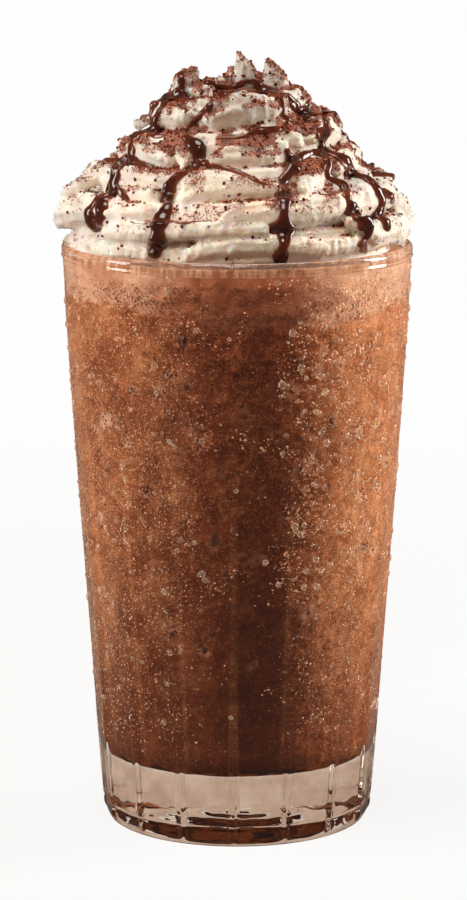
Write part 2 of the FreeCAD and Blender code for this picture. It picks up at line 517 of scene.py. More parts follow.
def cream_finish():
    """Whipped cream with painted shade, warm brown, in its creases, and a haze of cocoa where the powder
    fell.
    """
    f = Finish("whipped_cream")
    dust = f.kept("dust")
    soft = f.blend(f.noise(9, 3), 0.35, 0.7, shade(245, 233, 218), shade(251, 244, 234))
    # Painted shade: warm brown in the creases, where shadow falls between the folds.
    soft = f.blend(f.kept("crease"), 0.0, 0.8, soft, shade(214, 138, 88), 0.95)
    soft = f.mix(f.math("MULTIPLY", dust, 0.55), soft, shade(206, 138, 96))
    powder = f.blend(f.noise(1.5, 2), 0.4, 0.6, shade(124, 52, 28), shade(178, 94, 56))
    speckle = f.math("ADD", f.noise(0.45, 2, 0.6), f.math("MULTIPLY", f.noise(1.4, 2), 0.5))
    haze = f.ramp(f.math("ADD", speckle, f.math("MULTIPLY", dust, 0.68)), 0.98, 1.14, 0.0, 0.9)
    relief = f.math("ADD", f.noise(0.9, 3, 0.65), f.math("MULTIPLY", haze, 0.5))
    f.skin(
        Base_Color=f.mix(haze, soft, powder),
        Roughness=0.55,
        Subsurface_Weight=0.45,
        Subsurface_Radius=(1.0, 0.55, 0.28),
        Subsurface_Scale=1.8 * MM,
        Normal=f.bump(relief, 0.3, 0.75),
    )
    return f.material


def sauce_finish():
    """Glossy chocolate syrup, amber where it is thin."""
    f = Finish("chocolate_sauce")
    depth = f.kept("depth")
    thin = f.blend(depth, 0.12, 0.35, shade(150, 76, 38), shade(102, 44, 24))
    colour = f.blend(depth, 0.35, 1.1, thin, shade(64, 26, 15))
    f.skin(Base_Color=colour, Roughness=0.07, Normal=f.bump(f.noise(2.2, 2), 0.14, 0.5))
    return f.material


def plain_finish(name, first, second, size, roughness):
    """Two close colours in lumps of a size in millimetres."""
    f = Finish(name)
    f.skin(
        Base_Color=f.blend(f.noise(size, 2), 0.35, 0.65, first, second),
        Roughness=roughness,
        Specular_IOR_Level=0.06,
        Normal=f.bump(f.noise(size / 2, 2), 0.1, 0.5),
    )
    return f.material


# ---------------------------------------------------------------- glass and drink

lip_height = rim_height - lip_wall / 2
outer_ends = ((base_radius, heel_radius), (rim_radius, lip_height))
inner_ends = ((base_radius - base_wall, floor_height + cavity_corner), (rim_radius - lip_wall, lip_height))


def wall_radius(ends, height):
    """Radius of a bowed wall at a height, between its lower and upper (radius, height) ends."""
    (low_radius, low), (high_radius, high) = ends
    share = (height - low) / (high - low)
    return low_radius + (high_radius - low_radius) * share + 4 * wall_bow * share * (1 - share)


def outer_radius(height):
    """Outside of the round glass, drawn in under the smooth band of the rim, which ends in a bead."""
    band = rim_height - rim_band
    drawn_in = smooth_step(band - 16, band - 0.5, height) * (1 - smooth_step(band - 0.4, band + 0.1, height))
    bead = 0.22 * math.exp(-(((height - band) / 0.32) ** 2))
    ring = 0.22 * math.exp(-(((height - heel_radius - 1.2) / 0.5) ** 2))
    return wall_radius(outer_ends, height) - rim_groove * float(drawn_in) + bead - ring


def wall_points(radius_at, heights):
    """Outline points (radius, height) of a wall at the given heights."""
    return [(radius_at(height), height) for height in heights]


def panelled(degrees, height):
    """Outside radius of the glass in a direction, with its pressed panels."""
    low = base_radius - panel_depth
    slope = (wall_radius(outer_ends, panel_top) - low) / (panel_top - heel_radius)
    step = 360 / panel_count
    off_middle = math.radians((degrees + 90 - panel_turn) % step - step / 2)
    flat = (low + slope * (height - heel_radius)) / math.cos(off_middle)
    ring = wall_radius(outer_ends, height) - outer_radius(height)
    return min(outer_radius(height), flat - (ring if height < panel_top else 0))


def rib(degrees, height):
    """How far the rounded rib of a ridge stands out, with a faint flute on each side of it."""
    step = 360 / panel_count
    apart = abs((degrees + 90 - panel_turn + step / 2) % step - step / 2) * math.radians(base_radius)
    profile = math.exp(-((apart / 0.55) ** 2)) - 0.45 * math.exp(-(((apart - 1.5) / 0.6) ** 2))
    fade = 1 - 0.8 * smooth_step(floor_height, 48, height) - 0.2 * smooth_step(48, panel_top, height)
    return ridge_rib * profile * float(fade)


def foot_hollow(edge):
    """Domed hollow inside the foot with low rings in its middle, as (radius, height) from the axis out."""
    ring = 5.4
    points = []
    for radius in np.linspace(0, edge, 41):
        wave = 0.22 * math.cos(2 * math.pi * radius / ring) * float(smooth_step(18, 6, radius))
        points.append((radius, foot_dome * (1 - (radius / edge) ** 2) + wave))
    return points


def pressed_glass(place):
    """Where a point of the round glass lies once its panels are pressed and their ribs stand out."""
    radius = math.hypot(place.x, place.y)
    if radius < 1e-6:
        return place
    height = max(place.z, heel_radius)
    front = math.radians(panel_turn - 90)
    angle = math.atan2(place.y, place.x) - front
    angle -= 0.75 / panel_count * math.sin(panel_count * angle)  # gathers the columns at the ridges
    degrees = math.degrees(angle + front)
    outside = wall_radius(outer_ends, height) - 0.6 * heel_radius - 0.1
    if radius > outside and place.z < panel_end:
        change = panelled(degrees, height) + rib(degrees, height) - outer_radius(height)
        radius += change * float(smooth_step(0, heel_radius, place.z))
    return around(radius, degrees, place.z)


def make_glass(material):
    """The tumbler, from the hollow under its foot up the outside, over the lip and down to the floor."""
    foot_outer = base_radius - heel_radius
    heel = arc((foot_outer, heel_radius), heel_radius, -90, 0, 10)
    band = rim_height - rim_band
    above_heel = np.linspace(heel_radius, heel_radius + 3, 13)[1:]
    side = np.linspace(heel_radius + 3.5, band - 1.2, 34)
    bead = np.linspace(band - 1.0, band + 1.0, 14)
    smooth_band = np.linspace(band + 1.2, lip_height, 4)
    outside = [*above_heel, *side, *bead, *smooth_band]
    lip = arc((rim_radius - lip_wall / 2, lip_height), lip_wall / 2, 0, 180, 14)
    inside = np.linspace(lip_height, inner_ends[0][1], 24)[1:]
    corner = arc((inner_ends[0][0] - cavity_corner, inner_ends[0][1]), cavity_corner, 0, -90, 10)
    outline = [*foot_hollow(foot_outer - foot_width), *heel, *wall_points(outer_radius, outside), *lip[1:]]
    outline += [*wall_points(lambda h: wall_radius(inner_ends, h), inside), *corner[1:], (0, floor_height)]
    bm = spin_outline(outline, glass_columns)
    for v in bm.verts:
        v.co = pressed_glass(v.co)
    return make_piece("glass_tumbler", bm, material, "glass", "glass")


# Large open bubbles against the wall at the front: (across, height, radius)
open_bubbles = [
    (-13.2, 130.4, 1.8), (-5.5, 80.2, 2.0), (-6.0, 56.2, 1.3), (-7.8, 52.0, 1.5), (-21.6, 91.7, 1.6),
    (-3.0, 71.3, 0.9), (22.4, 109.0, 1.2), (-12.0, 118.5, 0.9), (6.4, 90.5, 0.9), (-8.4, 114.0, 0.8),
]


def foam_patches():
    """Pale patches of foam in the slush as (place at the wall, radius), most of them in its upper half."""
    patches = []
    for across, height, radius in open_bubbles:
        reach = wall_radius(inner_ends, height)
        patches.append((Vector((across, -math.sqrt(reach**2 - across**2), height - radius)), 1.2 * radius))
    for _ in range(patch_count):
        height = 40 + 88 * rng.random() ** 0.6
        place = around(wall_radius(inner_ends, height), rng.uniform(-180, 180), height)
        patches.append((place, rng.uniform(1.2, 3.6)))
    return patches


patches = foam_patches()


def froth_boundary(places):
    """Height of the uneven line between froth and slush at each place, lowest right of the front."""
    x = places[:, 0]
    front = smooth_step(0, -20, places[:, 1])
    line = froth_line + 1.6 * grain(places * (1, 1, 0.3), 13, 8) + 0.8 * grain(places, 3.5, 9)
    return line + front * (2.6 * smooth_step(-4, -30, x) - 2.8 * np.exp(-(((x - 13) / 15) ** 2)))


def turns_of(places):
    """Directions of places in degrees from the front, positive to the right."""
    return np.degrees(np.arctan2(places[:, 0], -places[:, 1]))


def paleness(places):
    """Share of painted side light at the wall: least in the dark stripe right of the front, most at the
    sides, and in patches behind.
    """
    turn = turns_of(places)
    left = 0.3 * smooth_step(-8, -34, turn) + 0.26 * smooth_step(-44, -70, turn)
    right = 0.85 * smooth_step(14, 52, turn)
    share = left + right + 0.25 * grain(places, 9, 3) * smooth_step(14, 40, np.abs(turn - 10))
    behind = smooth_step(95, 140, np.abs(turn))
    share = share * (1 - behind) + behind * (0.45 + 0.3 * grain(places, 16, 2))
    return np.clip(share, 0, 1) * (0.15 + 0.85 * smooth_step(22, 78, places[:, 2]))


def facets(turn, height):
    """Painted shade on the drink behind each pressed panel of the lower half, and a painted light line at
    each ridge.
    """
    step = 360 / panel_count
    share = (turn - panel_turn) / step
    fade = smooth_step(118, 80, height)
    ridge = np.exp(-(((share - np.round(share)) * step / 1.3) ** 2))
    return fade * (0.5 + 0.5 * np.cos(2.4 * np.floor(share))), fade * ridge


def frothiness(places, under):
    """1 in the froth, 0 in the slush, and between them in patches of foam, from the depth below the froth."""
    foam = np.zeros(len(places))
    for centre, radius in patches:
        apart = np.linalg.norm((places - centre) * (1, 1, 1.25), axis=1)
        foam = np.maximum(foam, 0.9 * smooth_step(1.25, 0.5, apart / radius))
    layer = smooth_step(3.0, -2.4, under + 1.2 * grain(places, 2.2, 12))
    return np.maximum(layer, foam * (0.6 + 0.4 * grain(places, 1.6, 6)))


def darkness(places, under, facet):
    """How dark the slush is: darker in pools just under the froth, and painted shade low down, less of it to
    the right, in upright bands and behind panels.
    """
    turn, height = turns_of(places), places[:, 2]
    lumps = smooth_step(-0.2, 0.6, grain(places, 9, 7))
    pools = 0.55 * smooth_step(0, 4, under) * smooth_step(14, 5, under) * lumps
    low = smooth_step(95, 30, height) * (1.0 - 0.5 * smooth_step(8, 55, turn))
    low = 0.86 * low + 0.3 * facet * (1 - 0.6 * smooth_step(20, 50, turn))
    bands = 0.35 * smooth_step(0.0, 0.6, grain(places * (1, 1, 0.05), 6, 11)) * smooth_step(125, 70, height)
    return np.maximum.reduce([pools, low, bands * (1 - 0.7 * smooth_step(8, 40, turn))])


def mark_slush(piece):
    """Stores for the slush's finish where it is froth, where it is darker or painted with shade, where side
    light is painted, and where its underside is.
    """
    places = points_of(piece.data) / MM
    under = froth_boundary(places) - places[:, 2]
    facet, ridge = facets(turns_of(places), places[:, 2])
    underside = smooth_step(floor_height + 2.2, floor_height + 0.4, places[:, 2])
    keep_values(piece.data, "froth", frothiness(places, under))
    keep_values(piece.data, "dark_and_shade", np.clip(darkness(places, under, facet) - 0.3 * ridge, 0, 1))
    keep_values(piece.data, "pale", np.clip(paleness(places) + 0.16 * ridge, 0, 1))
    keep_values(piece.data, "underside", underside)


def pressed(places):
    """How far the grain of the drink stands out into the wall at each place."""
    return 0.3 * np.clip(0.6 * grain(places, 5.5, 1) + 0.5 * grain(places, 1.9, 2), -1, 1)


def on_drink(small_things, lift):
    """Small things (centre, turn, sizes) moved out to the drink's grain at the wall, and a little further."""
    places = np.array([centre for centre, _, _ in small_things])
    out = places * (1, 1, 0)
    out /= np.linalg.norm(out, axis=1)[:, None]
    radii = np.array([wall_radius(inner_ends, p[2]) for p in places]) + wall_reach
    at_wall = out * radii[:, None] + places * (0, 0, 1)
    moved = at_wall + out * (pressed(at_wall) + lift)[:, None]
    return [(place, turn, sizes) for place, (_, turn, sizes) in zip(moved, small_things)]


def make_fill(name, outline, columns, material, slot, node):
    """Body of drink or froth that fills the glass, with its grain pressed into the wall."""
    bm = spin_outline(outline, columns)
    places = np.array([v.co for v in bm.verts])
    out = places * (1, 1, 0)
    length = np.linalg.norm(out, axis=1)
    wall = np.array([wall_radius(inner_ends, max(p[2], inner_ends[0][1])) for p in places])
    out /= np.maximum(length, 1e-6)[:, None]
    moved = places + out * (pressed(places) * (length > 0.9 * wall))[:, None]
    for v, place in zip(bm.verts, moved):
        v.co = place
    piece = make_piece(name, bm, material, slot, node)
    mark_slush(piece)
    return piece


def make_drink(material):
    """The blended drink up to the froth, with a close row of faces beside its upper edge."""
    corner_centre = (inner_ends[0][0] - cavity_corner, inner_ends[0][1])
    corner = arc(corner_centre, cavity_corner + wall_reach, -90, 0, 10)
    heights = [*np.arange(inner_ends[0][1], froth_line - 0.1, 0.6)[1:], froth_line - 0.02]
    wall = wall_points(lambda h: wall_radius(inner_ends, h) + wall_reach, heights)
    floor = [(r, floor_height - wall_reach) for r in np.linspace(0, corner_centre[0], 8)[:-1]]
    shore = wall[-1][0]
    top = [(shore - 0.02, froth_line), (shore - 0.6, froth_line), (0, froth_line)]
    outline = [*floor, *corner, *wall, *top]
    return make_fill("frappe_body", outline, glass_columns, material, "frappe", "frappe_drink")


def make_froth(material):
    """The froth from just inside the drink up to the lip, with a shallow dip beside the wall."""
    foot = froth_line - 0.5
    heights = [foot + 0.02, *np.arange(foot + 0.45, froth_top + 0.01, 0.45)]
    wall = wall_points(lambda h: wall_radius(inner_ends, h) + wall_reach + 0.02, heights)
    shore = wall_radius(inner_ends, froth_top)
    underside = [(0, foot), (wall[0][0] - 0.6, foot), (wall[0][0] - 0.02, foot)]
    insets = (0.3, 0.8, 1.5, 2.5, 4, 6, 9)
    top = [(shore - inset, froth_top - 0.5 * math.sin(min(inset, 3))) for inset in insets]
    outline = [*underside, *wall, *top, (0, froth_top - 0.4)]
    return make_fill("froth_layer", outline, froth_columns, material, "froth", "froth")


# ---------------------------------------------------------------- whipped cream

# Outline of the mound: height, radius of the crests
mound = [
    (147, 40.2), (149, 41.0), (152, 42.0), (156, 42.4), (160, 41.0), (163, 38.6), (165, 35.6), (168, 32.4),
    (171, 30.0), (174, 27.8), (177, 26.0), (180, 23.2), (183, 19.6), (186, 15.6), (190, 10.6), (194, 6.0),
]


def mound_radius(height):
    """Radius of the mound at a height."""
    heights, radii = zip(*mound)
    return float(np.interp(height, heights, radii))


def on_mound(across, seen, radius):
    """Centre of a rope of cream that lies on the mound, where it shows from the front."""
    depth = 0.0
    for _ in range(8):
        place = Vector((across, 0, seen)).lerp(eye, depth / -eye.y)
        reach = mound_radius(place.z) - radius + 0.6
        depth = math.sqrt(max(reach**2 - place.x**2, 1.0))
    return place


def fold(seed, edge, drift):
    """Section of a pushed rope: a round fold with a raised edge along its top and fainter ridges under it."""

    def section(step, angle):
        """Reach along and across at an angle, with the ridges swaying along the rope."""
        turn = 22 * noise.noise(Vector((step * drift, seed, 0)))
        strength = 1 + 0.8 * noise.noise(Vector((step * 3 * drift, seed, 4)))
        reach = 0.9
        for place, height, width in ((52, edge, 15), (10, 0.45 * edge, 13), (-30, 0.3 * edge, 12)):
            off = (math.degrees(angle) - place - turn + 180) % 360 - 180
            reach += height * strength * math.exp(-((off / width) ** 2))
        return reach * math.cos(angle), 0.88 * reach * math.sin(angle)

    return section


def piped_turns():
    """Centre points and radii of the rope that climbs round the mound from the froth to the top."""
    points, radii = [], []
    steps = 800
    start, end = -200.0, 1560.0
    for step in range(steps + 1):
        degrees = start + (end - start) * step / steps
        height = 151.4 + layer_rise * (degrees + 90) / 360
        place = Vector((degrees / 57, 3.3, 0))
        radius = rope_radius * (1 + 0.16 * noise.noise(place * 0.9)) * (1 - 0.12 * step / steps)
        radius *= float(smooth_step(-2, 32, steps - step)) * 0.75 + 0.25
        reach = mound_radius(height) - radius + 1.2 * noise.noise(place * 0.7 + Vector((0, 9, 0)))
        reach -= 1.7 * float(smooth_step(0.1, 0.7, math.cos(math.radians(degrees + 90))))
        lift = noise.noise(place * 0.8 + Vector((0, 0, 5)))
        points.append(around(max(reach, 1.5), degrees, height + lift))
        radii.append(radius)
    return points, radii


# Folds of cream that show from the front, each pushed along a course: (across, height seen, rope radius)
front_folds = [
    [(-13.2, 144.2, 1.6), (-10.4, 146.2, 2.4), (-6.2, 147.2, 3.0), (-0.5, 147.9, 3.2), (6.2, 148.2, 3.2),
     (13.2, 147.9, 3.0), (19.4, 147.4, 2.8), (25.6, 147.8, 2.8), (31.0, 148.8, 2.2)],
    [(-4.7, 153.2, 1.8), (-0.5, 154.8, 3.2), (4.5, 155.5, 4.2), (9.4, 155.7, 4.4), (15.6, 156.0, 4.2),
     (21.8, 157.0, 3.8), (26.8, 158.7, 2.8)],
    [(-32.8, 151.2, 2.8), (-27.8, 151.4, 3.4), (-21.6, 151.2, 3.2), (-14.1, 151.7, 2.9), (-6.7, 152.0, 2.4),
     (0.7, 151.9, 2.0), (8.0, 151.8, 1.4)],
    [(-15.0, 159.0, 3.4), (-10.9, 159.8, 5.0), (-6.2, 161.6, 4.6), (-0.5, 162.8, 3.6), (6.2, 162.4, 2.6),
     (11.9, 162.0, 1.6)],
    [(-6.6, 169.3, 2.0), (-0.5, 170.1, 4.2), (5.7, 170.0, 4.8), (11.4, 170.8, 3.4)],
    [(-7.6, 178.4, 3.2), (-3.7, 180.4, 4.8), (0.7, 181.4, 5.2), (5.2, 182.0, 5.0), (9.4, 181.6, 3.6)],
    [(-19.8, 178.4, 2.4), (-17.1, 180.0, 3.6), (-14.1, 180.4, 3.8), (-11.5, 179.8, 2.6)],
    [(-12.0, 187.6, 2.0), (-9.2, 186.4, 3.1), (-6.5, 185.9, 2.2)],
    [(-24.8, 177.4, 1.7), (-23.6, 179.0, 2.4), (-22.2, 181.1, 1.7)],
    [(-28.2, 170.6, 1.6), (-27.9, 173.2, 2.3), (-27.3, 175.4, 1.6)],
    [(-24.4, 171.5, 2.4), (-21.3, 171.5, 3.3), (-18.1, 170.2, 3.5), (-15.8, 169.2, 2.2)],
    [(-14.6, 173.4, 1.9), (-13.2, 170.8, 2.7), (-12.7, 168.0, 1.9)],
    [(-28.2, 166.4, 1.8), (-22.8, 165.5, 2.7), (-16.6, 165.0, 2.0)],
    [(-29.4, 160.7, 2.0), (-24.1, 160.6, 3.0), (-19.6, 160.0, 2.1)],
    [(-32.4, 156.0, 2.0), (-25.8, 156.2, 2.9), (-19.6, 156.4, 2.0)],
    [(-35.8, 146.6, 1.7), (-30.3, 147.2, 3.2), (-24.1, 146.8, 3.0), (-20.6, 145.0, 1.8)],
    [(-43.2, 160.4, 2.8), (-38.4, 163.6, 4.0), (-34.0, 165.9, 4.2), (-30.2, 166.7, 2.6)],
    [(-43.4, 152.4, 3.4), (-41.2, 155.4, 5.0), (-36.0, 157.0, 3.6)],
    [(-42.6, 149.8, 2.4), (-39.4, 149.0, 2.8), (-35.4, 148.1, 1.6)],
    [(20.4, 168.6, 2.2), (18.8, 165.5, 3.2), (16.2, 161.8, 2.4)],
    [(29.8, 169.7, 2.4), (30.4, 166.9, 3.2), (31.0, 163.6, 3.6), (31.4, 159.4, 2.8)],
    [(26.4, 174.8, 2.0), (28.2, 172.4, 2.8), (29.8, 169.9, 2.0)],
    [(18.4, 183.6, 1.2), (19.9, 181.0, 1.8), (19.7, 177.7, 1.8), (18.1, 174.4, 1.2)],
    [(25.9, 176.8, 1.2), (26.9, 173.4, 1.9), (26.4, 169.6, 2.1), (24.5, 166.2, 1.5)],
    [(38.0, 148.9, 3.0), (40.0, 153.0, 4.3), (39.6, 157.6, 4.4), (37.2, 160.4, 3.2)],
    [(13.3, 186.6, 1.8), (15.6, 185.6, 2.9), (17.6, 184.0, 2.0)],
    [(22.3, 180.6, 2.2), (24.1, 179.0, 2.7), (25.2, 176.8, 1.9)],
    [(12.2, 176.8, 1.3), (14.4, 174.7, 2.1), (15.8, 172.6, 1.3)],
    [(9.3, 174.2, 1.7), (11.0, 172.6, 2.5), (12.7, 171.4, 1.7)],
    [(27.5, 154.6, 1.6), (30.2, 153.0, 2.6), (33.4, 150.8, 2.4), (35.4, 148.6, 1.6)],
]
# Pushes at the sides and the back: (radius, direction, height, rope radius)
far_folds = [
    [(36.4, 34, 152.0, 3.4), (39.6, 48, 155.0, 5.0), (37.6, 64, 157.5, 4.2)],
    [(34.6, 92, 153.0, 3.6), (39.4, 108, 156.0, 5.2), (37.4, 126, 157.0, 4.2)],
    [(32.0, 20, 161.5, 2.8), (34.6, 34, 164.5, 4.4), (32.4, 50, 166.5, 3.2)],
    [(31.0, 130, 163.0, 2.8), (33.0, 148, 166.0, 4.4), (31.0, 164, 168.0, 3.2)],
    [(24.0, 70, 171.0, 2.6), (26.6, 90, 173.5, 4.0), (24.4, 112, 176.0, 3.0)],
    [(16.0, 10, 180.0, 2.6), (18.6, 36, 182.0, 4.0), (16.0, 62, 184.0, 3.0)],
    [(15.4, 120, 181.0, 2.4), (17.4, 146, 183.0, 3.8), (15.0, 172, 185.0, 2.6)],
]
# Pulled tufts at the top: points as (x, y, height, rope radius)
tufts = [
    [(-13.2, -4.5, 183.5, 4.0), (-12.8, -5.0, 188.4, 3.8), (-12.4, -5.0, 191.4, 3.5),
     (-11.4, -4.5, 193.4, 2.4)],
    [(-8.6, -4.5, 184.0, 3.6), (-7.6, -4.0, 188.6, 3.2), (-6.4, -3.5, 190.6, 2.6)],
    [(-5.0, -1.5, 184.0, 4.6), (-4.2, -1.5, 188.8, 3.4), (-3.0, -1.5, 190.8, 2.6)],
    [(2.2, 0.0, 184.0, 5.0), (2.2, 0.0, 189.4, 4.0), (1.7, -0.5, 192.8, 2.8), (0.7, -1.0, 195.2, 1.3),
     (-0.1, -1.0, 196.6, 0.3)],
    [(5.6, 0.5, 184.0, 4.0), (5.6, 0.5, 189.2, 3.2), (5.0, 0.0, 191.9, 2.0)],
    [(9.0, -1.0, 182.0, 5.0), (9.4, -1.5, 187.2, 4.2), (9.2, -2.0, 190.9, 3.2), (8.4, -2.5, 193.7, 1.7),
     (7.6, -2.5, 195.2, 0.4)],
    [(12.8, -3.5, 180.0, 2.8), (12.7, -3.5, 184.6, 2.2), (12.2, -3.0, 187.4, 1.4)],
    [(-1.0, 8.0, 182.0, 4.6), (-1.5, 8.4, 188.0, 3.6), (-1.0, 7.6, 192.0, 1.4)],
]


def add_push(bm, points, seed, edge):
    """Adds one short push of cream along a given course of (x, y, height, radius)."""
    course = curve_through(points, 0.6)
    places = [Vector(row[:3]) for row in course]
    last = len(places) - 1
    blunt = [min(1, (min(k, last - k) + 0.6) / (2.2 * course[k][3])) for k in range(last + 1)]
    radii = [row[3] * math.sqrt(1 - (1 - share) ** 2) for row, share in zip(course, blunt)]
    out = [Vector((p.x, p.y, 0.001)).normalized() for p in places]
    rope(bm, places, out, radii, fold(seed, edge, 0.02), 48)


def relieve_cream(mesh):
    """Gives the cream ragged edges, keeps it inside the lip, and says how far each place stands out."""
    places, out = points_of(mesh), normals_of(mesh)
    stands_out = np.einsum("ij,ij->i", places - softened(mesh, places, 24), out)
    ragged = smooth_step(0.05, 0.5, stands_out)
    fringe = grain(places * (1, 1, 0.45), 1.0, 3)
    lumps = grain(places, 2.6, 4)
    above = smooth_step(froth_top, froth_top + 2, places[:, 2])
    places += out * (above * (0.22 * lumps + (0.06 + 0.46 * ragged) * fringe))[:, None]
    places[:, 2] = np.maximum(places[:, 2], froth_top - 0.5)
    limit = np.array([wall_radius(inner_ends, min(p[2], lip_height)) for p in places]) - 0.05
    reach = np.hypot(places[:, 0], places[:, 1])
    outside = (places[:, 2] < rim_height) & (reach > limit)
    places[:, :2] *= np.where(outside, limit / np.maximum(reach, 1e-6), 1.0)[:, None]
    place_points(mesh, places)
    return stands_out


def fallen_cocoa(mesh, stands_out):
    """Share of cocoa that lies at each place of the cream, and how far the place is a shelf between folds."""
    places, up = points_of(mesh), softened(mesh, normals_of(mesh)[:, 2], 2)
    high = smooth_step(151, 182, places[:, 2])
    drift = smooth_step(-0.3, 0.45, grain(places, 5.5, 5) + 0.5 * grain(places, 2.0, 6) + 0.55 * high - 0.15)
    drift *= 0.8 + 0.2 * smooth_step(-10, 20, places[:, 0])
    shelf = smooth_step(-0.1, 0.4, up) * smooth_step(0.1, 0.7, -stands_out)
    dust = smooth_step(-0.15, 0.75, up) * drift * (0.35 + 0.65 * high) + 0.75 * shelf * (0.45 + 0.55 * drift)
    dust += high * smooth_step(0.45, 1.3, -stands_out) * smooth_step(-0.8, 0.3, up)
    return np.clip(dust, 0, 1), shelf


def make_cream():
    """Mound of piped folds, with the share of cocoa and the depth of the creases stored at its vertices."""
    core = [(0, froth_top - 1), (38.5, froth_top - 1), (38.0, 152), (37.2, 158), (31.5, 166), (25.0, 174)]
    bm = spin_outline([*core, (17.0, 182), (8, 187), (0, 188)], 64)
    points, radii = piped_turns()
    out = [Vector((p.x, p.y, 0)).normalized() for p in points]
    rope(bm, points, out, radii, fold(0.5, 0.24, 0.012), 56)
    for seed, push in enumerate(front_folds):
        add_push(bm, [(*on_mound(*point), point[2]) for point in push], seed, 0.26)
    for seed, push in enumerate(far_folds):
        add_push(bm, [(*around(r, d, h), radius) for r, d, h, radius in push], 50 + seed, 0.26)
    for seed, tuft in enumerate(tufts):
        add_push(bm, tuft, 80 + seed, 0.2)
    cream = merged("cream_swirl", bm, cream_voxel, 1)
    stands_out = relieve_cream(cream.data)
    dust, shelf = fallen_cocoa(cream.data, stands_out)
    keep_values(cream.data, "dust", softened(cream.data, dust, 1))
    # Depth of the creases, which the cream's finish paints with shade.
    keep_values(cream.data, "crease", smooth_step(0.05, 1.1, -stands_out))
    return cream, dust, shelf


# ---------------------------------------------------------------- chocolate sauce

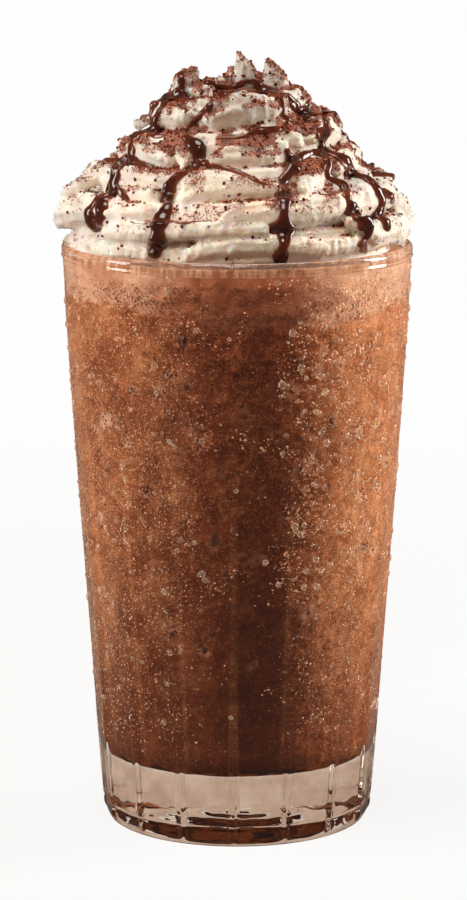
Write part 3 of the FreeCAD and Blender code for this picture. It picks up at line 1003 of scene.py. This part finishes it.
# Strands at the front, as they show: (across, height seen, half width)
front_strands = [
    [(-13.4, 192.0, 0.8), (-13.9, 190.4, 1.1), (-14.1, 187.4, 1.1), (-16.0, 185.9, 1.4), (-19.1, 184.7, 1.0),
     (-20.8, 183.0, 0.8), (-21.5, 180.9, 0.8), (-21.3, 178.5, 0.8), (-21.9, 177.1, 0.8), (-23.6, 176.2, 1.0),
     (-25.6, 175.7, 1.0), (-26.3, 174.1, 0.8), (-25.8, 172.0, 1.0), (-26.4, 170.5, 1.3), (-28.5, 169.3, 1.4),
     (-30.2, 167.6, 1.5), (-30.8, 164.5, 1.5), (-31.8, 161.6, 1.6), (-33.3, 159.2, 1.7), (-33.9, 156.6, 1.9),
     (-34.9, 154.0, 1.5), (-35.2, 152.4, 1.2)],
    [(-16.2, 185.6, 1.4), (-13.6, 185.2, 1.7), (-12.4, 184.0, 1.0)],
    [(-26.8, 170.4, 1.0), (-24.1, 168.8, 1.2), (-21.1, 167.4, 0.5)],
    [(-30.4, 162.6, 1.0), (-28.2, 160.6, 1.2), (-27.0, 158.9, 0.5)],
    [(-22.6, 176.4, 0.6), (-19.9, 175.6, 0.8), (-17.6, 175.9, 0.4)],
    [(-6.2, 184.0, 0.9), (-8.2, 181.7, 1.0), (-10.2, 179.8, 0.8), (-11.9, 178.2, 0.6), (-13.2, 176.4, 0.7),
     (-12.2, 174.6, 1.4), (-10.3, 172.7, 2.1), (-9.3, 170.8, 1.9), (-8.6, 169.4, 1.1)],
    [(-8.9, 169.3, 1.0), (-4.2, 167.8, 0.8), (-0.5, 166.8, 0.8), (3.2, 165.3, 0.65), (6.2, 163.8, 0.5),
     (9.0, 163.3, 0.35)],
    [(-9.3, 170.2, 1.0), (-10.2, 168.2, 1.3), (-12.7, 166.5, 0.8), (-15.2, 165.3, 1.1), (-16.8, 162.9, 1.7),
     (-17.4, 160.5, 1.5), (-17.5, 158.0, 1.5), (-18.2, 155.9, 1.8), (-19.5, 153.7, 2.3), (-19.7, 151.8, 2.2),
     (-19.9, 149.4, 2.2), (-20.7, 146.9, 2.2), (-21.4, 144.8, 1.6)],
    [(-16.2, 153.9, 0.35), (-12.9, 153.7, 0.5), (-9.2, 154.2, 0.35), (-6.4, 154.4, 0.25)],
    [(-27.1, 154.0, 0.2), (-24.1, 153.5, 0.35), (-22.1, 153.6, 0.3)],
    [(-1.8, 187.5, 0.8), (1.0, 188.8, 0.8), (3.4, 189.6, 0.8), (6.0, 187.9, 1.2), (8.4, 186.7, 1.4),
     (10.7, 185.4, 0.8), (11.5, 183.1, 0.75), (11.6, 180.4, 0.9), (12.8, 179.9, 1.2), (13.6, 180.6, 0.7)],
    [(-9.9, 188.4, 0.3), (-7.2, 189.2, 0.6), (-4.0, 188.0, 0.7), (-1.6, 187.6, 0.8)],
    [(-4.6, 186.6, 1.0), (-3.2, 185.9, 1.0), (-1.4, 186.9, 0.6)],
    [(13.0, 183.6, 0.6), (15.4, 182.3, 1.2), (17.2, 183.4, 0.8), (18.6, 184.9, 0.6)],
    [(15.4, 180.0, 0.7), (17.8, 180.2, 0.9)],
    [(19.7, 175.6, 1.0), (21.6, 176.3, 1.7), (23.4, 176.6, 1.0)],
    [(3.2, 176.6, 0.7), (6.2, 177.0, 1.2), (9.6, 177.2, 1.0), (11.2, 177.6, 0.5)],
    [(-5.6, 175.0, 0.4), (-1.7, 175.2, 0.55), (2.0, 175.6, 0.55), (3.6, 176.6, 0.6)],
    [(12.2, 172.6, 0.9), (13.4, 170.4, 1.1), (14.6, 168.6, 1.6), (13.2, 166.4, 1.3), (11.6, 164.4, 1.2),
     (11.4, 162.2, 1.1), (11.7, 160.4, 2.6), (11.9, 158.6, 1.6), (11.8, 156.0, 1.2), (11.7, 154.2, 1.8),
     (11.4, 152.4, 3.4), (12.0, 150.5, 2.3), (11.7, 147.9, 1.3), (11.0, 145.9, 1.9), (11.0, 144.2, 2.0),
     (10.9, 142.9, 1.5)],
    [(14.6, 169.4, 1.2), (16.9, 170.8, 1.1), (19.4, 171.5, 1.0), (21.8, 170.8, 0.9), (22.8, 168.4, 1.0),
     (22.6, 166.0, 1.1), (24.6, 164.3, 1.1), (26.6, 163.3, 1.4), (27.3, 161.5, 1.3), (27.6, 159.4, 1.4),
     (28.3, 157.6, 2.1), (30.0, 155.9, 1.8), (31.3, 154.2, 2.2), (32.8, 152.8, 1.9), (33.0, 150.9, 1.0),
     (32.0, 149.2, 0.9), (31.4, 147.9, 1.6), (33.0, 146.2, 0.4)],
    [(35.2, 161.8, 0.8), (36.8, 161.3, 1.3), (38.6, 160.3, 1.3), (39.4, 158.7, 0.7)],
    [(26.8, 171.8, 0.4), (26.1, 169.2, 0.5), (27.0, 167.6, 0.7), (28.0, 165.9, 0.8), (26.8, 164.8, 0.4)],
    [(31.4, 168.6, 0.7), (33.0, 168.0, 0.9), (34.6, 168.9, 0.5)],
]
# A strand from the crown down to the rim and a short one, for the sides that the front doesn't show
side_strands = [
    [(-3.0, 187.0, 0.8), (-0.5, 183.0, 1.3), (2.4, 180.0, 1.0), (1.0, 176.0, 1.6), (-2.0, 172.6, 1.1),
     (-1.0, 168.6, 1.6), (2.6, 165.4, 1.2), (2.0, 161.2, 1.9), (3.4, 157.0, 1.4), (2.4, 152.4, 2.2),
     (2.6, 148.4, 1.9)],
    [(3.0, 184.0, 0.7), (0.8, 180.6, 1.2), (-1.6, 177.4, 1.5), (-0.4, 173.4, 1.0), (2.2, 170.4, 1.6),
     (1.6, 166.6, 1.3), (-0.8, 163.0, 1.9), (-0.2, 159.2, 1.6)],
    [(-8.0, 176.6, 0.6), (-4.0, 177.6, 0.9), (1.0, 176.4, 0.8), (6.0, 175.2, 0.7), (9.0, 173.6, 0.4)],
]
side_turns = [(62, 0), (98, 1), (128, 2), (150, 0), (188, 1), (222, 0), (256, 1), (292, 0), (200, 2)]


def evened(rows):
    """Directions averaged with those before and after them, apart from the two at the ends."""
    middle = [(a + b + c) / 3 for a, b, c in zip(rows, rows[1:], rows[2:])]
    return [rows[0], *middle, rows[-1]]


def lay_on(tree, turn, course):
    """Places of a course on the cream, bridging creases as sauce does, its outward directions and widths."""
    turned = Matrix.Rotation(math.radians(turn), 3, "Z")
    start = turned @ eye
    rows = curve_through([(x, 0, z, w) for x, z, w in course], sauce_step)
    depths, rays, normals = [], [], []
    for x, _, z, _ in rows:
        ray = (turned @ Vector((x, 0, z)) - start).normalized()
        _, normal, _, depth = tree.ray_cast(start, ray)
        if depth is None:
            near, normal, _, _ = tree.find_nearest(turned @ Vector((x, 0, z)))
            depth = (near - start).length
        depths.append(depth)
        rays.append(ray)
        normals.append(0.55 * normal - 0.45 * ray)
    depths = np.array(depths)
    for _ in range(8):
        eased = depths.copy()
        eased[1:-1] = (depths[:-2] + depths[1:-1] + depths[2:]) / 3
        depths = np.minimum(depths, eased)
    places = [start + ray * depth for ray, depth in zip(rays, depths)]
    for _ in range(4):
        normals = evened(normals)
    return places, [n.normalized() for n in normals], rows[:, 3]


def sauce_section(_, angle):
    """Section of a strand, lower than it is wide."""
    return sauce_height * math.cos(angle), math.sin(angle)


def make_sauce(cream):
    """Strands and pools of sauce on the cream, with their depth stored at the vertices."""
    corners = [v.co for v in cream.data.vertices]
    tree = BVHTree.FromPolygons(corners, [p.vertices for p in cream.data.polygons])
    courses = [(0, strand) for strand in front_strands]
    courses += [(turn, side_strands[kind]) for turn, kind in side_turns]
    bm = bmesh.new()
    for turn, course in courses:
        places, out, widths = lay_on(tree, turn, course)
        last = len(places) - 1
        radii = []
        for step, (width, place) in enumerate(zip(widths, places)):
            blunt = min(1, (min(step, last - step) + 0.3) * sauce_step / width)
            uneven = 1 + 0.22 * noise.noise(place / 2.6) + 0.12 * noise.noise(place / 1.1)
            radii.append(sauce_fullness * width * uneven * math.sqrt(max(0.06, 1 - (1 - blunt) ** 2)))
        rope(bm, places, out, radii, sauce_section, 16)
    sauce = merged("chocolate_strands", bm, sauce_voxel, 2)
    depth = [tree.find_nearest(v.co)[3] for v in sauce.data.vertices]
    keep_values(sauce.data, "depth", softened(sauce.data, depth, 4))
    return sauce


# ---------------------------------------------------------------- scattered things


def small_shape(make, **sizes):
    """Places and faces of a small shape for scattering, from the bmesh operator that makes it."""
    bm = bmesh.new()
    make(bm, radius=1.0, **sizes)
    bmesh.ops.triangulate(bm, faces=bm.faces)
    places = np.array([v.co for v in bm.verts])
    faces = np.array([[v.index for v in f.verts] for f in bm.faces])
    bm.free()
    return places, faces


def scatter(name, shape, small_things, material, slot):
    """One piece made of many copies of a small shape, each given as its centre, turn and sizes."""
    places, faces = shape
    centres, turns, sizes = (np.array(rows) for rows in zip(*small_things))
    copies = np.einsum("nij,nmj->nmi", turns, sizes[:, None, :] * places[None])
    copies += centres[:, None, :]
    count = len(centres)
    indices = (faces[None] + (np.arange(count) * len(places))[:, None, None]).reshape(-1)
    mesh = bpy.data.meshes.new(name)
    mesh.vertices.add(count * len(places))
    mesh.vertices.foreach_set("co", (copies * MM).ravel())
    mesh.loops.add(len(indices))
    mesh.loops.foreach_set("vertex_index", indices)
    mesh.polygons.add(len(indices) // 3)
    mesh.polygons.foreach_set("loop_start", np.arange(0, len(indices), 3))
    mesh.update(calc_edges=True)
    mesh.validate()
    return dress(bpy.data.objects.new(name, mesh), material, slot)


def turned_to(normal, spin):
    """Turn that carries +Z to a direction, after a spin about it."""
    return np.array(normal.to_track_quat("Z", "Y").to_matrix() @ Matrix.Rotation(spin, 3, "Z"))


def outward(place):
    """Level direction from the axis to a place."""
    return Vector((place.x, place.y, 0)).normalized()


def outer_place(degrees, height):
    """Place on the outside of the glass and the direction out of it."""
    place = around(panelled(degrees, height), degrees, height)
    beside = around(panelled(degrees + 0.4, height), degrees + 0.4, height)
    above = around(panelled(degrees, height + 0.5), degrees, height + 0.5)
    return place, (beside - place).cross(above - place).normalized()


def wetness(place, degrees):
    """Chance of a bead at a place: least in the clear stripe left of the front and none at the thick base."""
    clumps = noise.noise(place / 9) + 0.7 * noise.noise(place / 3.2 + Vector((3, 1, 2)))
    stripe = math.exp(-(((degrees + 88) / 19) ** 2))
    base = float(smooth_step(floor_height + 2, floor_height + 16, place.z))
    base *= 1 - 0.75 * float(smooth_step(85, 50, place.z)) * math.exp(-(((degrees + 92) / 30) ** 2))
    froth = float(smooth_step(froth_line - 4, froth_line + 4, place.z))
    return base * (1 - 0.45 * froth) * float(smooth_step(-0.75, 0.35, clumps + 0.35 - 1.3 * stripe))


def make_condensation(name, count, sizes, flatness, gathered, shape, material):
    """Water beads on the outside of the glass, larger where they ran together right of the front."""
    low, high = sizes
    beads = []
    while len(beads) < count:
        degrees = rng.uniform(-180, 180)
        height = rng.uniform(floor_height, rim_height - rim_band - 1)
        place, out = outer_place(degrees, height)
        run = math.exp(-(((degrees + 50) / 34) ** 2)) * float(smooth_step(45, 100, height))
        if rng.random() > wetness(place, degrees) * (1 - gathered + gathered * run):
            continue
        size = (low + (high - low) * rng.random() ** 2.5) * (1 + 0.3 * run)
        turn = turned_to(out, rng.uniform(0, 6.28))
        beads.append((place, turn, (size * rng.uniform(0.85, 1.2), size, size * flatness)))
    return scatter(name, shape, beads, material, "condensation")


def froth_pore():
    """Place at the wall, size and chance of one pore of the froth, larger towards the slush."""
    degrees = rng.uniform(-180, 180)
    height = froth_top - 4.6 - (froth_depth + 2.6) * rng.random()
    place = around(wall_radius(inner_ends, height), degrees, height)
    under = float(froth_boundary(np.array([place]))[0]) - height
    middle = 0.25 + 0.75 * math.exp(-(((degrees + 94) / 34) ** 2))
    chance = middle * smooth_step(1.5, -2.0, under) * smooth_step(-0.7, 0.5, noise.noise(place / 4))
    size = 0.07 + 0.18 * rng.random() ** 3 + 0.18 * float(smooth_step(-6, 0, under)) * rng.random() ** 2
    return place, size, chance


def patch_pore():
    """Place, size and chance of one pore of a foam patch in the slush."""
    centre, radius = patches[rng.randrange(len(patches))]
    place = centre + Vector([rng.gauss(0, 0.5 * radius) for _ in range(3)])
    return place, 0.1 + 0.4 * rng.random() ** 2.5, 0.5


def make_pinholes(count, shape, material):
    """Dark open pores against the wall, three of each four in the froth and the rest in the foam patches."""
    pores = []
    while len(pores) < count:
        place, size, chance = froth_pore() if len(pores) % 4 else patch_pore()
        if rng.random() > chance:
            continue
        turn = turned_to(outward(place), rng.uniform(0, 6.28))
        pores.append((place, turn, (size * rng.uniform(0.8, 1.2), size, 0.07)))
    return scatter("froth_pores", shape, on_drink(pores, 0.02), material, "froth")


def make_bubbles(shape, material):
    """Open bubbles of the slush where they broke against the wall, the large ones of the front first."""
    places = []
    for across, height, size in open_bubbles:
        reach = wall_radius(inner_ends, height)
        places.append((Vector((across, -math.sqrt(reach**2 - across**2), height)), size))
    places += [(patch, rng.uniform(0.3, 0.8)) for patch, radius in patches if radius > 3.0]
    bubbles = [(place, turned_to(outward(place), 0), (size * 0.72, size, 0.3)) for place, size in places]
    return scatter("slush_bubbles", shape, on_drink(bubbles, -0.05), material, "frappe")


def make_cocoa(name, cream, weight, count, sizes, shape, material):
    """Grains of cocoa lying where the powder fell on the cream."""
    low, high = sizes
    places, out = points_of(cream.data) / MM, normals_of(cream.data)
    chance = np.maximum(weight, 0) * (places[:, 2] > rim_height - 1)
    chosen = np.random.default_rng(count).choice(len(places), count, p=chance / chance.sum())
    grains = []
    for index in chosen:
        size = low + (high - low) * rng.random() ** 2.5
        beside = Vector([rng.uniform(-0.35, 0.35) for _ in range(3)])
        normal = Vector(out[index])
        beside -= normal * beside.dot(normal)
        centre = Vector(places[index]) + beside + normal * size * 0.25
        turn = turned_to(normal, rng.uniform(0, 6.28))
        grains.append((centre, turn, (size * rng.uniform(0.8, 1.6), size, size * rng.uniform(0.5, 0.9))))
    return scatter(name, shape, grains, material, "cocoa")


# ---------------------------------------------------------------- studio


def seen_directly(f):
    """1 where it shows, through glass too, a little where it is mirrored, and 0 as light on a body."""
    path = f.add("ShaderNodeLightPath")
    straight = f.math("MAXIMUM", path.outputs["Is Camera Ray"], path.outputs["Is Transmission Ray"])
    mirrored = f.math("MULTIPLY", path.outputs["Is Glossy Ray"], 0.05)
    unlit = f.math("LESS_THAN", path.outputs["Diffuse Depth"], 0.5)
    return f.math("MULTIPLY", f.math("MAXIMUM", straight, mirrored), unlit)


def floor_finish():
    """Pale floor that shows white and keeps a soft shadow, but throws little light back at the glass."""
    f = Finish("floor")
    seen = seen_directly(f)
    paint = f.add("ShaderNodeBsdfDiffuse", None, Color=f.mix(seen, shade(112, 96, 82), shade(232, 231, 229)))
    glow = f.add("ShaderNodeEmission", None, Color=(1, 1, 1, 1), Strength=1.0)
    away = f.add("ShaderNodeVectorMath", {"operation": "LENGTH"}, Vector=f.place).outputs["Value"]
    share = f.math("MULTIPLY", seen, f.ramp(away, 0.12, 0.7, 0.84, 0.985))
    return f.show(shared(f, share, paint, glow))


def make_floor():
    """Wide level floor a hair under the foot of the glass."""
    bm = bmesh.new()
    bmesh.ops.create_grid(bm, x_segments=1, y_segments=1, size=8.0)
    bmesh.ops.translate(bm, vec=(0, 0, -0.05 * MM), verts=bm.verts)
    mesh = bpy.data.meshes.new("studio_floor")
    bm.to_mesh(mesh)
    bm.free()
    mesh.materials.append(floor_finish())
    floor = bpy.data.objects.new("studio_floor", mesh)
    bpy.context.scene.collection.objects.link(floor)


def soft_lamp(name, degrees, distance, height, size, level, colour, aim_height=0.11, spread=180):
    """Soft lamp facing the glass, in a direction from the front; a level of 1 fully lights what faces it."""
    place = around(distance, degrees - 90, height)
    aim = Vector((0, 0, aim_height)) - place
    lamp = bpy.data.lights.new(name, "AREA")
    lamp.shape = "RECTANGLE"
    lamp.size, lamp.size_y = size
    lamp.energy = level * (math.pi * aim.length) ** 2
    if spread < 180:
        half = math.radians(spread / 2)
        lamp.spread = 2 * half
        lamp.energy *= 1 - half / math.tan(half)
    lamp.color = colour
    holder = bpy.data.objects.new(name, lamp)
    holder.location = place
    holder.rotation_euler = aim.to_track_quat("-Z", "Y").to_euler()
    bpy.context.scene.collection.objects.link(holder)


def make_world():
    """Dim warm surroundings that show white behind the glass."""
    world = bpy.data.worlds.new("studio")
    bpy.context.scene.world = world
    world.use_nodes = True
    f = Finish("studio_sky", world.node_tree)
    sky = f.add("ShaderNodeBackground")
    f.feed(sky.inputs["Color"], f.mix(seen_directly(f), (0.085, 0.058, 0.041, 1.0), (1.0, 1.0, 1.0, 1.0)))
    output = f.add("ShaderNodeOutputWorld")
    f.tree.links.new(sky.outputs[0], output.inputs["Surface"])


def make_studio():
    """Floor, surroundings, a lamp on each side, one above, a narrow one for the cream, and the camera."""
    make_floor()
    make_world()
    soft_lamp("left_lamp", -84, 1.1, 0.36, (0.35, 0.8), 0.8, (1.0, 0.98, 0.95))
    soft_lamp("right_lamp", 103, 1.1, 0.36, (0.35, 0.8), 1.2, (1.0, 0.97, 0.93))
    soft_lamp("cream_lamp", -4, 0.3, 0.37, (0.09, 0.02), 1.1, (1.0, 0.77, 0.56), 0.133, 11)
    soft_lamp("top_lamp", -20, 0.3, 1.15, (0.5, 0.5), 0.55, (1.0, 0.98, 0.95))
    lens = bpy.data.cameras.new("camera")
    lens.lens = 163.9
    lens.sensor_width = 36.0
    lens.clip_start = 0.01
    camera = bpy.data.objects.new("camera", lens)
    camera.location = eye * MM
    camera.rotation_euler = (math.radians(90 - eye_tilt), 0, 0)
    bpy.context.scene.collection.objects.link(camera)
    bpy.context.scene.camera = camera
    bpy.context.scene.view_settings.view_transform = "Standard"


make_studio()
make_glass(tumbler_finish())
slush = slush_finish("blended_coffee")
make_drink(slush)
make_froth(slush)
cream, dust, shelf = make_cream()
sauce = make_sauce(cream)
for piece in (cream, sauce):
    piece.data.transform(Matrix.Scale(MM, 4))
dress(cream, cream_finish(), "cream", "whipped_cream")
dress(sauce, sauce_finish(), "chocolate_sauce")
grit = small_shape(bmesh.ops.create_uvsphere, u_segments=4, v_segments=2)
speck = small_shape(bmesh.ops.create_icosphere, subdivisions=1)
bead = small_shape(bmesh.ops.create_icosphere, subdivisions=2)
drop = small_shape(bmesh.ops.create_uvsphere, u_segments=8, v_segments=4)
powder = plain_finish("cocoa_powder", shade(84, 32, 18), shade(140, 66, 38), 0.8, 0.9)
pore_brown = plain_finish("froth_pore", shade(106, 57, 37), shade(134, 80, 56), 2.0, 0.8)
bubble_skin = plain_finish("bubble_skin", shade(112, 64, 42), shade(74, 36, 22), 1.2, 0.4)
# The tan of the mist and the beads is painted, for the brown drink seen through them.
mist = water_finish("water_mist", 0.6, shade(236, 186, 142), shade(252, 216, 180))
clear = water_finish("water_beads", 0.12, shade(240, 208, 178), shade(252, 234, 212))
make_cocoa("cocoa_grains", cream, dust + 0.02, 20000, (0.07, 0.2), grit, powder)
make_cocoa("cocoa_crumbs", cream, shelf**1.5 + 0.25 * dust + 0.01, 4200, (0.15, 0.46), speck, powder)
make_pinholes(9500, speck, pore_brown)
make_bubbles(bead, bubble_skin)
make_condensation("condensation_mist", 24000, (0.09, 0.19), 0.75, 0.0, grit, mist)
make_condensation("condensation_dew", 9900, (0.14, 0.3), 0.6, 0.3, speck, mist)
make_condensation("condensation_beads", 1700, (0.28, 1.0), 0.5, 0.75, drop, clear)
